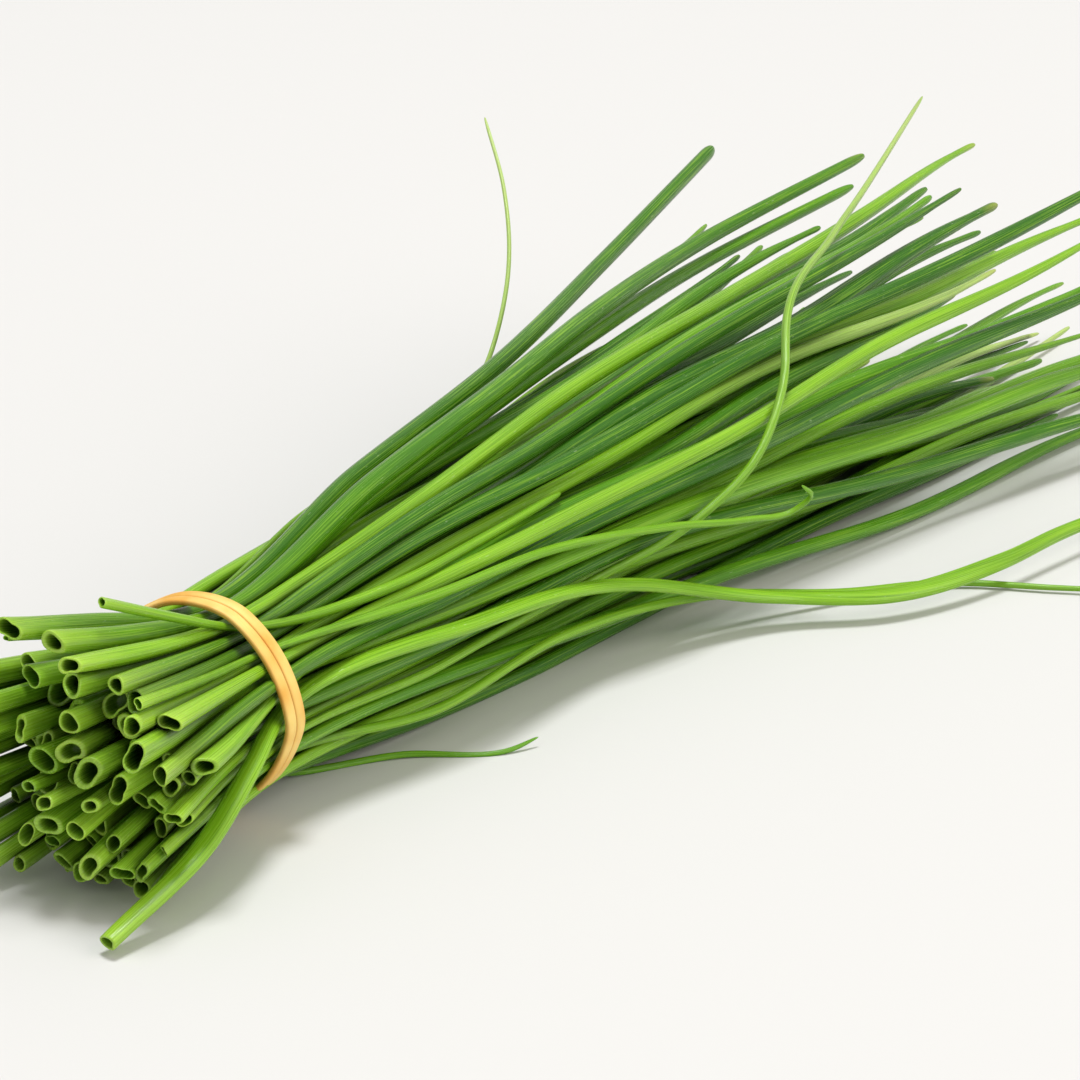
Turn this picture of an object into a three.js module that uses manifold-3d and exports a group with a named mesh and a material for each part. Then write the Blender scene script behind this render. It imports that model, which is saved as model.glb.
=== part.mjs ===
import * as THREE from "three";
import { mergeVertices } from "three/addons/utils/BufferGeometryUtils.js";
import Module from "manifold-3d";

const wasm = await Module();
wasm.setup();

// A bunch of fresh chives held by a doubled rubber band, lying on its side.
// Millimetres, +Z up. The leaves run along +X and the cut ends point along -X.
// Places are worked out from the middle of the band, on the table, and the last step
// moves the whole bunch so that the origin is under the middle of its box.

// The bunch
const bandPlace = new THREE.Vector3(-117, 12, 0); // the middle of the band, from the origin
const axisHeight = 19.5; // the bunch's axis above the table, at the band
const chiveCount = 98; // with the stray ones
const bundleRadius = 14.6;
const squash = 0.93; // the packed circle starts a little smaller and is pushed apart
const goldenAngle = 2.399963;
const takenShare = 0.85; // a packed chive gives way to a stray one nearer than this share of their radii
const layoutSeed = 7;

// One chive
const slimRadius = 1.1;
const radiusRange = 0.75;
const topRadius = 0.25; // how much stouter the topmost chives are
const cutLength = [27, 41]; // from the band to the cut end
const leafLength = [212, 285]; // from the band to the tip
const farShortening = 45; // the leaves on the far side, towards +Y, are up to this much shorter
const squeeze = 0.26; // how much the band narrows a chive
const squeezeReach = 16;
const swelling = 0.1; // how much wider a leaf is away from the band
const swellingReach = 110;
const cutSwelling = 0.16; // how much wider a chive is at its cut end
const cutSwellingReach = 30;
const taperStart = 0.8; // as a share of the chive's length
const taperPower = 0.5;
const tipShare = 0.42; // a blunt tip's radius, as a share of the chive's
const wallShare = 0.3; // thickness of a chive's wall, as a share of its radius
const hollowDepth = 7;
const hollowFloorShare = 0.9; // the hollow narrows to this share at its floor
const tubeSides = 5;
const rimRoom = 1; // no ring is made this near the cut rim
const tipRoom = 4; // or this near the tip

// How the bunch spreads on either side of the band
const cutFlare = 0.3;
const cutNeck = 12;
const leafFlare = 0.3;
const leafNeck = 30;
const neckTightness = 0.2; // how much nearer the axis the chives lie at the band
const neckReach = 25;
const leafScale = 200; // length over which a leaf's own bend builds up
const cutScale = 45;
const leafSweep = 9; // sideways, straight and curling
const leafCurl = 8;
const leafLean = -4;
const leafRise = 4; // up and down, straight and sagging
const leafDroop = 4;
const leafLift = 5.5; // how much less the upper leaves droop, and how much more the lower ones do
const leafSplit = 0.4; // how far from the axis a leaf counts as upper or lower, as a share of the bunch
const leafSag = 9;
const cutSweepReach = 3;
const cutRiseReach = 2.5;

// Chives are pushed apart at these places along the bunch and run straight between them
const stations = [-48, -22, -5, 5, 40, 90, 150, 215, 285];
const steps = 5;
const spacing = 0.2;
const rounds = 420;
const lastRounds = 220; // rounds that only push apart
const pushShare = 0.55; // how much of a push a round takes up
const smoothShare = 0.1;
const returnShare = 0.03;
const aliveRoom = [5, 10]; // chives push each other this far past their cut ends and tips
const groundedRoom = [12, 15]; // and stay above the table this far past them

const crossedFrom = 180; // leaves that still meet beyond this are shortened
const crossedRoom = 0.02;

// The rubber band, wound twice
const strandWidth = 2.0;
const strandThickness = 1.1;
const strandOffset = 1.2; // each winding's middle, to either side of the band's plane
const bandGap = 0.25;
const crossingAngle = -0.3; // where the windings cross, from +Y towards +Z
const crossingLift = 1.5;
const crossingSpan = 0.05;
const crossingLength = 0.11;
const bandSteps = 84;
const outlineTurns = 180; // directions in which the outline under the band is measured
const outlineFacing = 0.2; // directions that face away further than this don't count

const tableSize = 900;
const tableDepth = 20;

// Chives that leave the bunch: radius, how flat, whether the tip is blunt, and their middle line
const strays = {
  straight_chive: {
    radius: 1.6, flat: 1, blunt: 0.8, tone: "deep",
    line: [[-41, 5.5, 43.5], [-20, 6.2, 37], [0, 4.6, 31.6], [60, 11, 34.5], [120, 20, 34.5], [180, 33, 35],
      [240, 42, 41]],
  },
  long_top_chive: {
    radius: 1.7, flat: 1, blunt: 0.55, tone: "deep",
    line: [[-36, 1.5, 40.5], [-18, 0.5, 35.6], [0, -0.6, 32.3], [50, 2, 37.5], [100, 8, 38], [150, 16.5, 37],
      [200, 23.3, 35], [260, 18.7, 38]],
  },
  second_top_chive: {
    radius: 1.6, flat: 1, blunt: 0.55, tone: "mid",
    line: [[-38, 4, 35.5], [-18, 3, 31.3], [0, 2, 28.6], [50, 4.5, 33.2], [100, 10.5, 33.8],
      [150, 17.5, 32.5], [200, 23, 30.8], [252, 17, 34]],
  },
  broken_chive: {
    radius: 0.9, flat: 1, blunt: 0.75, tone: "light",
    line: [[-27, -0.8, 44], [-12, -3.2, 37], [0, -5.2, 31.8], [35, -12.4, 28.5], [57, -14.2, 29],
      [80, -15.3, 29.7]],
  },
  hooked_chive: {
    radius: 0.8, flat: 1, blunt: 0.45, tone: "light",
    line: [[-36, -13, 34], [-15, -10.5, 30], [0, -9.8, 28.4], [38, -17.4, 26.6], [70, -21.8, 25],
      [91, -28.9, 22.8], [111, -33.8, 18.7], [119.5, -37.8, 18.3], [120.5, -40.5, 21], [117, -40.5, 24]],
  },
  crossing_chive: {
    radius: 0.75, flat: 1, blunt: 0.45, tone: "pale",
    line: [[-33, -14.5, 10.5], [-15, -13.6, 12.6], [0, -12.6, 14.4], [40, -16, 13.5], [65, -17.5, 13.8],
      [83, -20.5, 15], [101, -27.5, 19.5], [115, -32.5, 27.5], [128, -31, 36.5], [140, -25.5, 44.5],
      [175, -16.4, 48.5], [195, -11.8, 50], [245, -0.7, 56]],
  },
  flat_chive: {
    radius: 1.9, flat: 0.55, blunt: 0.35, tone: "light",
    line: [[-48, -14.8, 2.2], [-27, -17.4, 9.5], [-12, -15.6, 15.5], [0, -12.7, 18.9], [45, -21, 20.5],
      [83, -25, 14.7], [112, -39.1, 5.5], [124, -53, 4.4], [147, -63.9, 5], [163, -67.4, 5.5], [192, -73, 4]],
  },
  low_chive: {
    radius: 0.8, flat: 1, blunt: 0.4, tone: "light",
    line: [[-34, -15.5, 4.5], [-15, -12, 7.6], [0, -9.9, 10.1], [40, -17, 7], [72, -21, 9], [104, -29.5, 6.5],
      [128, -44, 2], [143, -56, 1], [150, -73, 1], [156, -88, 1.2]],
  },
  table_chive: {
    radius: 0.62, flat: 1, blunt: 0.5, tone: "mid",
    line: [[-30, 5, 2.2], [-14, 3.5, 3.8], [0, 2, 5.9], [10, -1, 3.3], [20, -4, 0.7], [33, -13.4, 0.65],
      [44, -27.5, 0.65], [48, -29.6, 1.6]],
  },
  wispy_chive: {
    radius: 0.5, flat: 1, blunt: 0.6, tone: "pale",
    line: [[-33, 12, 38], [-15, 10, 33], [0, 8.3, 30], [50, 15, 30], [100, 27, 25], [135, 37, 20],
      [152, 41, 22.5], [166, 45, 34], [180, 54, 46], [190, 64, 56]],
  },
};
const restShare = 0.78; // a chive that rests on the table is pressed flat: its middle's height by its radius
const straySpacing = 0.45; // extra room between a packed chive and a stray one
const strayStep = 11; // length of one step along a stray chive
const straySamples = 160; // steps in which a stray chive's line is looked up
const strayTaperStart = 0.62;
const strayTaperPower = 0.6;
const largestStretch = 2; // of a stray chive's section, where it crosses the bunch at a slant

// Colours
const colours = { deep: 0x1f5220, mid: 0x3c7a22, light: 0x6fa52e, pale: 0x9dbf5c, rubber: 0xd9a355 };
const chiveFinish = { roughness: 0.45, metalness: 0 };
const rubberFinish = { roughness: 0.55, metalness: 0 };

const clamp = THREE.MathUtils.clamp;

// Seeded numbers, each drawn evenly between a low and a high value
function seededDraws(seed) {
  let state = seed;
  return (low, high) => {
    state = (state * 1664525 + 1013904223) % 4294967296;
    return low + ((high - low) * state) / 4294967296;
  };
}

// The packed chives: a sunflower spiral across the bunch, each with its own size, length and bend.
// Where a stray chive passes under the band, it takes the place of a packed one.
function packedChives(strayLines) {
  const draw = seededDraws(layoutSeed);
  const list = [];
  for (let i = 0; i < chiveCount; i++) {
    const out = squash * bundleRadius * Math.sqrt((i + 0.5) / chiveCount);
    const y = out * Math.cos(i * goldenAngle);
    const z = out * Math.sin(i * goldenAngle);
    const size = draw(0, 1);
    const radius = slimRadius + radiusRange * size * size + topRadius * Math.max(z / bundleRadius, 0);
    const cut = -draw(...cutLength);
    const tip = draw(...leafLength) - farShortening * Math.max(y / bundleRadius, 0) ** 2;
    const sweep = draw(-1, 1) + draw(-1, 1);
    const curl = draw(-1, 1) + draw(-1, 1);
    const rise = draw(-1, 1) + draw(-1, 1);
    const sag = draw(0, 1);
    const cutSweep = draw(-1, 1);
    const cutRise = draw(-1, 1);
    const tone = draw(0, 1);
    const taken = strayLines.some(({ atBand, radius: other }) => (
      Math.hypot(atBand.y - y, atBand.z - axisHeight - z) < takenShare * (radius + other)
    ));
    if (!taken) list.push({ y, z, radius, cut, tip, sweep, curl, rise, sag, cutSweep, cutRise, tone });
  }
  if (list.length % 2 === 1) list.pop();
  return list;
}

// A chive's radius at x: narrowed under the band, swelling on either side of it, tapered to a blunt tip
function radiusAt(chive, x) {
  const narrowed = 1 - squeeze * Math.exp(-((x / squeezeReach) ** 2));
  const swollen = 1 + swelling * clamp(x / swellingReach, 0, 1)
    + cutSwelling * clamp(-x / cutSwellingReach, 0, 1);
  const along = (x - chive.cut) / (chive.tip - chive.cut);
  const taper = clamp((1 - along) / (1 - taperStart), 0, 1) ** taperPower;
  return chive.radius * narrowed * swollen * Math.max(taper, tipShare);
}

// Where a chive would lie if nothing were in its way
function wantedPlace(chive, x) {
  const cutSide = Math.max(-x, 0);
  const leafSide = Math.max(x, 0);
  const flare = 1 + cutFlare * (Math.hypot(1, cutSide / cutNeck) - 1)
    + leafFlare * (Math.hypot(1, leafSide / leafNeck) - 1)
    - neckTightness * Math.exp(-((x / neckReach) ** 2));
  const leaf = leafSide / leafScale;
  const cut = cutSide / cutScale;
  const up = chive.z / bundleRadius;
  const y = chive.y * flare + leafSweep * chive.sweep * leaf
    + (leafCurl * chive.curl + leafLean) * leaf * leaf + cutSweepReach * chive.cutSweep * cut;
  const z = axisHeight + chive.z * flare + leafRise * chive.rise * leaf
    - (leafDroop - leafLift * Math.tanh(up / leafSplit) + leafSag * chive.sag) * leaf * leaf
    + cutRiseReach * chive.cutRise * cut;
  return [y, z];
}

// A smooth line through points: on each span a cubic whose end slopes come from the points beside it
class ChiveLine extends THREE.Curve {
  constructor(points) {
    super();
    this.points = points.map((p) => new THREE.Vector3(...p));
    this.knots = [0];
    for (let i = 1; i < points.length; i++) {
      this.knots.push(this.knots[i - 1] + this.points[i].distanceTo(this.points[i - 1]));
    }
    this.slopes = this.points.map((p, i) => this.slopeAt(i));
  }

  spanSlope(i) {
    return this.points[i + 1].clone().sub(this.points[i]).divideScalar(this.knots[i + 1] - this.knots[i]);
  }

  slopeAt(i) {
    const last = this.points.length - 1;
    if (i === 0) return this.spanSlope(0);
    if (i === last) return this.spanSlope(last - 1);
    const before = this.knots[i] - this.knots[i - 1];
    const after = this.knots[i + 1] - this.knots[i];
    return this.spanSlope(i).multiplyScalar(before).add(this.spanSlope(i - 1).multiplyScalar(after))
      .divideScalar(before + after);
  }

  getPoint(t, target = new THREE.Vector3()) {
    const at = t * this.knots.at(-1);
    let i = 0;
    while (i < this.points.length - 2 && at > this.knots[i + 1]) i++;
    const span = this.knots[i + 1] - this.knots[i];
    const s = (at - this.knots[i]) / span;
    const a = 2 * s ** 3 - 3 * s ** 2 + 1;
    const b = s ** 3 - 2 * s ** 2 + s;
    const c = 3 * s ** 2 - 2 * s ** 3;
    const d = s ** 3 - s ** 2;
    return target.set(0, 0, 0).addScaledVector(this.points[i], a).addScaledVector(this.slopes[i], b * span)
      .addScaledVector(this.points[i + 1], c).addScaledVector(this.slopes[i + 1], d * span);
  }
}

// Where a stray chive crosses the plane at x, and how far its round section is stretched there by
// its slant, or null if it doesn't reach the plane
function crossingAt(samples, x) {
  for (let i = 1; i < samples.length; i++) {
    const before = samples[i - 1];
    const after = samples[i];
    if (after.x <= before.x) return null;
    if (x >= before.x && x <= after.x) {
      const step = after.clone().sub(before);
      const t = (x - before.x) / step.x;
      const stretch = Math.min(step.length() / step.x, largestStretch);
      return { y: before.y + step.y * t, z: before.z + step.z * t, stretch };
    }
  }
  return null;
}

// Pushes the packed chives apart, off the strays and off the table, at each step between the stations.
// Each round a chive moves by half its overlaps, is smoothed along its length and drawn to its wanted place.
function pushApart(chives, strayLines) {
  const wanted = chives.map((chive) => stations.map((x) => wantedPlace(chive, x)));
  const place = wanted.map((row) => row.map((p) => [...p]));
  const slices = [];
  for (let k = 0; k < stations.length - 1; k++) {
    const lastStep = k === stations.length - 2 ? steps : steps - 1;
    for (let j = 0; j <= lastStep; j++) {
      const t = j / steps;
      const x = stations[k] * (1 - t) + stations[k + 1] * t;
      const isNear = (chive, [before, after]) => x >= chive.cut - before && x <= chive.tip + after;
      const alive = chives.map((chive) => isNear(chive, aliveRoom));
      const grounded = chives.map((chive) => isNear(chive, groundedRoom));
      const radii = chives.map((chive) => radiusAt(chive, x));
      const fixed = strayLines.map((stray) => ({ ...crossingAt(stray.samples, x), radius: stray.radius }))
        .filter((stray) => stray.stretch);
      slices.push({ k, t, alive, grounded, radii, fixed });
    }
  }
  const count = chives.length;
  for (let round = 0; round < rounds; round++) {
    const move = chives.map(() => stations.map(() => [0, 0, 0]));
    for (const { k, t, alive, grounded, radii, fixed } of slices) {
      const now = place.map((row) => [
        row[k][0] * (1 - t) + row[k + 1][0] * t,
        row[k][1] * (1 - t) + row[k + 1][1] * t,
      ]);
      const push = now.map(() => [0, 0, 0]);
      const shove = (i, fromY, fromZ, need, share) => {
        const dy = now[i][0] - fromY;
        const dz = now[i][1] - fromZ;
        const far = Math.hypot(dy, dz) + 1e-9;
        if (far >= need) return;
        push[i][0] += (dy / far) * (need - far) * share;
        push[i][1] += (dz / far) * (need - far) * share;
        push[i][2] += 1;
      };
      for (let i = 0; i < count; i++) {
        const low = restShare * radii[i] - now[i][1];
        if (low > 0 && grounded[i]) {
          push[i][1] += low;
          push[i][2] += 1;
        }
        if (!alive[i]) continue;
        for (let j = 0; j < count; j++) {
          if (j !== i && alive[j]) shove(i, now[j][0], now[j][1], radii[i] + radii[j] + spacing, 0.5);
        }
        for (const { y, z, stretch, radius } of fixed) {
          shove(i, y, z, radii[i] + radius * stretch + spacing + straySpacing, 1);
        }
      }
      const ends = (1 - t) ** 2 + t ** 2;
      for (let i = 0; i < count; i++) {
        if (push[i][2] === 0) continue;
        for (const [station, weight] of [[k, 1 - t], [k + 1, t]]) {
          move[i][station][0] += (push[i][0] * weight) / ends;
          move[i][station][1] += (push[i][1] * weight) / ends;
          move[i][station][2] += weight;
        }
      }
    }
    for (let i = 0; i < count; i++) {
      for (let k = 0; k < stations.length; k++) {
        const pushes = Math.max(move[i][k][2], 1);
        place[i][k][0] += (pushShare * move[i][k][0]) / pushes;
        place[i][k][1] += (pushShare * move[i][k][1]) / pushes;
      }
    }
    if (round >= rounds - lastRounds) continue;
    for (let i = 0; i < count; i++) {
      const old = place[i].map((p) => [...p]);
      for (let k = 0; k < stations.length; k++) {
        for (const axis of [0, 1]) {
          let value = old[k][axis];
          if (k > 0 && k < stations.length - 1) {
            const t = (stations[k] - stations[k - 1]) / (stations[k + 1] - stations[k - 1]);
            value += (old[k - 1][axis] * (1 - t) + old[k + 1][axis] * t - old[k][axis]) * smoothShare;
          }
          place[i][k][axis] = value + (wanted[i][k][axis] - old[k][axis]) * returnShare;
        }
      }
    }
  }
  return place;
}

// A packed chive's middle at x, straight between the stations
function placeAt(row, x) {
  let k = 0;
  while (k < stations.length - 2 && x > stations[k + 1]) k++;
  const t = (x - stations[k]) / (stations[k + 1] - stations[k]);
  return [row[k][0] * (1 - t) + row[k + 1][0] * t, row[k][1] * (1 - t) + row[k + 1][1] * t];
}

// A leaf whose end would still run into another leaf's ends short of it
function shortenCrossed(chives, place) {
  for (let i = 0; i < chives.length; i++) {
    for (let j = 0; j < i; j++) {
      const shorter = chives[i].tip < chives[j].tip ? chives[i] : chives[j];
      for (let x = crossedFrom; x < shorter.tip; x++) {
        const [ya, za] = placeAt(place[i], x);
        const [yb, zb] = placeAt(place[j], x);
        const room = Math.hypot(ya - yb, za - zb) - radiusAt(chives[i], x) - radiusAt(chives[j], x);
        if (room < crossedRoom) {
          shorter.tip = x - 1;
          break;
        }
      }
    }
  }
}

// A closed body from rings of points: the rings are joined in order, and the first and last are filled
function bodyFromRings(rings) {
  const sides = rings[0].length;
  const points = rings.flat();
  const index = [];
  for (let k = 0; k < rings.length - 1; k++) {
    for (let s = 0; s < sides; s++) {
      const a = k * sides + s;
      const b = k * sides + ((s + 1) % sides);
      index.push(a, b, a + sides, b, b + sides, a + sides);
    }
  }
  const lastRing = (rings.length - 1) * sides;
  for (let s = 1; s < sides - 1; s++) {
    index.push(0, s + 1, s);
    index.push(lastRing, lastRing + s, lastRing + s + 1);
  }
  return { points, index };
}

function manifoldFrom({ points, index }) {
  const vertProperties = new Float32Array(points.flatMap((p) => [p.x, p.y, p.z]));
  const triVerts = new Uint32Array(index);
  return new wasm.Manifold(new wasm.Mesh({ numProp: 3, vertProperties, triVerts }));
}

function geometryFrom(solid) {
  const { vertProperties, triVerts } = solid.getMesh();
  const geometry = new THREE.BufferGeometry();
  geometry.setAttribute("position", new THREE.BufferAttribute(new Float32Array(vertProperties), 3));
  geometry.setIndex(new THREE.BufferAttribute(new Uint32Array(triVerts), 1));
  return mergeVertices(geometry);
}

// A ring of points round a middle, in the plane of two unit vectors
function ringOf(middle, across, upward, halfWidth, halfHeight, sides) {
  const ring = [];
  for (let s = 0; s < sides; s++) {
    const turn = (2 * Math.PI * (s + 0.5)) / sides - Math.PI / 2;
    ring.push(middle.clone().addScaledVector(across, halfWidth * Math.cos(turn))
      .addScaledVector(upward, halfHeight * Math.sin(turn)));
  }
  return ring;
}

// The rings of a packed chive, in planes across the bunch: the floor of its hollow, the hollow's mouth,
// the cut rim, each station it passes and its tip
function packedRings(chive, row) {
  const across = new THREE.Vector3(0, 1, 0);
  const upward = new THREE.Vector3(0, 0, 1);
  const ringAt = (x, share) => {
    const radius = radiusAt(chive, x) * share;
    return ringOf(new THREE.Vector3(x, ...placeAt(row, x)), across, upward, radius, radius, tubeSides);
  };
  const inner = 1 - wallShare;
  const inside = stations.filter((x) => x > chive.cut + rimRoom && x < chive.tip - tipRoom);
  return [
    ringAt(chive.cut + hollowDepth, inner * hollowFloorShare),
    ringAt(chive.cut, inner),
    ringAt(chive.cut, 1),
    ...inside.map((x) => ringAt(x, 1)),
    ringAt(chive.tip, 1),
  ];
}

// The rings of a stray chive, square to its line and turned as little as the line allows
function strayRings(stray) {
  const line = new ChiveLine(stray.line);
  const length = line.getLength();
  const count = Math.round(length / strayStep);
  const inner = 1 - wallShare;
  const ringAt = (t, share) => {
    const middle = line.getPoint(t);
    const along = line.getTangent(t);
    const across = new THREE.Vector3(0, 0, 1).cross(along).normalize();
    const upward = along.clone().cross(across);
    const reached = clamp((1 - t) / (1 - strayTaperStart), 0, 1) ** strayTaperPower;
    const taper = stray.blunt + (1 - stray.blunt) * reached;
    const x = middle.x;
    const narrowed = 1 - squeeze * Math.exp(-((x / squeezeReach) ** 2));
    const radius = stray.radius * taper * narrowed * share;
    return ringOf(middle, across, upward, radius, radius * stray.flat, tubeSides + 1);
  };
  const rings = [ringAt(hollowDepth / length, inner * hollowFloorShare), ringAt(0, inner)];
  for (let k = 0; k <= count; k++) rings.push(ringAt(k / count, 1));
  return rings;
}

// The short bridge that joins the two chives of a pair where the band presses them together
function pairBridge(rowA, rowB) {
  const halfLength = 1.5;
  const halfHeight = 0.4;
  const a = new THREE.Vector3(0, ...placeAt(rowA, 0));
  const b = new THREE.Vector3(0, ...placeAt(rowB, 0));
  const along = b.clone().sub(a).normalize();
  const upward = new THREE.Vector3(1, 0, 0).cross(along);
  const corner = (middle, sideways, up) => middle.clone().add(new THREE.Vector3(sideways * halfLength, 0, 0))
    .addScaledVector(upward, up * halfHeight);
  const ring = (middle) => [corner(middle, 1, -1), corner(middle, -1, -1), corner(middle, -1, 1),
    corner(middle, 1, 1)];
  return bodyFromRings([ring(a), ring(b)]);
}

// Pairs each chive, from the outside in, with the nearest one that is still free
function pairUp(chives, place) {
  const middles = place.map((row) => placeAt(row, 0));
  const order = chives.map((c, i) => i);
  order.sort((i, j) => Math.hypot(middles[j][0], middles[j][1] - axisHeight)
    - Math.hypot(middles[i][0], middles[i][1] - axisHeight));
  const pairs = [];
  while (order.length > 0) {
    const first = order.shift();
    const gapTo = (j) => Math.hypot(middles[first][0] - middles[j][0], middles[first][1] - middles[j][1]);
    let best = 0;
    for (let n = 1; n < order.length; n++) if (gapTo(order[n]) < gapTo(order[best])) best = n;
    pairs.push([first, order.splice(best, 1)[0]]);
  }
  return pairs;
}

// How far the bunch reaches from its axis in each direction, as a convex outline drawn tight round it.
// The support of the outline is the furthest reach along a normal, and the outline is the nearest of
// the lines that those supports draw.
function outlineRadius(circles) {
  const support = [];
  for (let n = 0; n < outlineTurns; n++) {
    const angle = (2 * Math.PI * n) / outlineTurns;
    const reach = circles.map((c) => c.y * Math.cos(angle) + (c.z - axisHeight) * Math.sin(angle) + c.radius);
    support.push(Math.max(...reach));
  }
  return (angle) => {
    let nearest = Infinity;
    for (let n = 0; n < outlineTurns; n++) {
      const facing = Math.cos((2 * Math.PI * n) / outlineTurns - angle);
      if (facing > outlineFacing) nearest = Math.min(nearest, support[n] / facing);
    }
    return nearest;
  };
}

// The rubber band: a flat strand that goes twice round the bunch and crosses over itself once
function bandBody(circles) {
  const radiusTowards = outlineRadius(circles);
  const rings = [];
  for (let k = 0; k < bandSteps; k++) {
    const travel = (4 * Math.PI * k) / bandSteps;
    const angle = crossingAngle + travel;
    const swing = Math.sin(travel / 2);
    const span = Math.sqrt(crossingSpan);
    const x = (strandOffset * swing) / Math.hypot(swing, span) * Math.hypot(1, span);
    const over = Math.exp(-(((1 - Math.cos(travel / 2)) / crossingLength) ** 2));
    const reach = radiusTowards(angle) + bandGap + strandThickness / 2 + crossingLift * over;
    const outward = new THREE.Vector3(0, Math.cos(angle), Math.sin(angle));
    const middle = new THREE.Vector3(x, 0, axisHeight).addScaledVector(outward, reach);
    const sideways = new THREE.Vector3(1, 0, 0);
    const corner = (s, o) => middle.clone().addScaledVector(sideways, (s * strandWidth) / 2)
      .addScaledVector(outward, (o * strandThickness) / 2);
    rings.push([corner(-1, -1), corner(1, -1), corner(1, 1), corner(-1, 1)]);
  }
  const sides = 4;
  const index = [];
  for (let k = 0; k < bandSteps; k++) {
    const next = (k + 1) % bandSteps;
    for (let s = 0; s < sides; s++) {
      const a = k * sides + s;
      const b = k * sides + ((s + 1) % sides);
      const c = next * sides + s;
      const d = next * sides + ((s + 1) % sides);
      index.push(a, b, c, b, d, c);
    }
  }
  return { points: rings.flat(), index };
}

// Everything below the table is trimmed away, which leaves small flats where the lowest chives rest
function trimAtTable(solid) {
  const block = new THREE.BoxGeometry(tableSize, tableSize, tableDepth).translate(0, 0, -tableDepth / 2);
  block.deleteAttribute("normal");
  block.deleteAttribute("uv");
  const merged = mergeVertices(block);
  const vertProperties = merged.attributes.position.array;
  const table = new wasm.Manifold(new wasm.Mesh({
    numProp: 3, vertProperties, triVerts: new Uint32Array(merged.index.array),
  }));
  return solid.subtract(table);
}

const bunch = new THREE.Group();

function addPiece(name, solid, colour, finish) {
  const material = new THREE.MeshStandardMaterial({ color: colour, ...finish });
  const mesh = new THREE.Mesh(geometryFrom(solid), material);
  mesh.name = name;
  bunch.add(mesh);
}

function toneOf(share) {
  if (share < 0.4) return "deep";
  return share < 0.78 ? "mid" : "light";
}

const strayLines = Object.values(strays).map((stray) => {
  const samples = new ChiveLine(stray.line).getPoints(straySamples);
  return { samples, radius: stray.radius, atBand: crossingAt(samples, 0) };
});
const chives = packedChives(strayLines);
const place = pushApart(chives, strayLines);
shortenCrossed(chives, place);

pairUp(chives, place).forEach(([a, b], n) => {
  const solid = manifoldFrom(bodyFromRings(packedRings(chives[a], place[a])))
    .add(manifoldFrom(bodyFromRings(packedRings(chives[b], place[b]))))
    .add(manifoldFrom(pairBridge(place[a], place[b])));
  const name = `chive_pair_${String(n + 1).padStart(2, "0")}`;
  addPiece(name, trimAtTable(solid), colours[toneOf(chives[a].tone)], chiveFinish);
});

for (const [name, stray] of Object.entries(strays)) {
  const solid = manifoldFrom(bodyFromRings(strayRings(stray)));
  addPiece(name, trimAtTable(solid), colours[stray.tone], chiveFinish);
}

const bandEdge = strandOffset + strandWidth / 2;
const underBand = [-bandEdge, 0, bandEdge].flatMap((x) => {
  const packed = chives.map((chive, i) => {
    const [y, z] = placeAt(place[i], x);
    return { y, z, radius: radiusAt(chive, x) };
  });
  const stray = strayLines.map(({ samples, radius }) => {
    const { y, z, stretch } = crossingAt(samples, x);
    return { y, z, radius: radius * stretch };
  });
  return [...packed, ...stray];
});
addPiece("rubber_band", manifoldFrom(bandBody(underBand)), colours.rubber, rubberFinish);

bunch.position.copy(bandPlace);
export default bunch;
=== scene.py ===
import bpy
import math
import numpy as np
from mathutils import Matrix, Vector


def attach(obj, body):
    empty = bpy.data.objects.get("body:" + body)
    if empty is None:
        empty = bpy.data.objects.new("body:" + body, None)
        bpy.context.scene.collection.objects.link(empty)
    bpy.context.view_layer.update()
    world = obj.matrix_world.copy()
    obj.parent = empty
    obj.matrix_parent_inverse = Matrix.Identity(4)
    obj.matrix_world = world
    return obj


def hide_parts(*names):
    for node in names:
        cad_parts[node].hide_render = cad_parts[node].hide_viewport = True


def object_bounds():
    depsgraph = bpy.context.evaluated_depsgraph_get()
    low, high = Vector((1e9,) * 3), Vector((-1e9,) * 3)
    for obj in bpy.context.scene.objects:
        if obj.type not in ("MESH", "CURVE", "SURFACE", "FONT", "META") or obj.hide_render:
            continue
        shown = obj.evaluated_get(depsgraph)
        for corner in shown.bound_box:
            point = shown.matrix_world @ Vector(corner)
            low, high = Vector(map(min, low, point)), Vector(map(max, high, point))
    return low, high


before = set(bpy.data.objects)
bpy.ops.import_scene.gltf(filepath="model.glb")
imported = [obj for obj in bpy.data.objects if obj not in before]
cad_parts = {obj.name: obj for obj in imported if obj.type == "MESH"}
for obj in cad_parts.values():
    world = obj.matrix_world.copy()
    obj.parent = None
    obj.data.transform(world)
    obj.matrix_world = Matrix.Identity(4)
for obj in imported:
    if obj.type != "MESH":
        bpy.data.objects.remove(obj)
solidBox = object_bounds()
print("frame loaded:", len(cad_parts), "nodes")

# Lengths are in millimetres from the middle of the band, on the floor, until a mesh is made.
# place moves the band's middle to where the solids have it.
place = np.array([-117.0, 12.0, 0.0])
metre = 0.001
tiny = 1e-9

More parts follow.
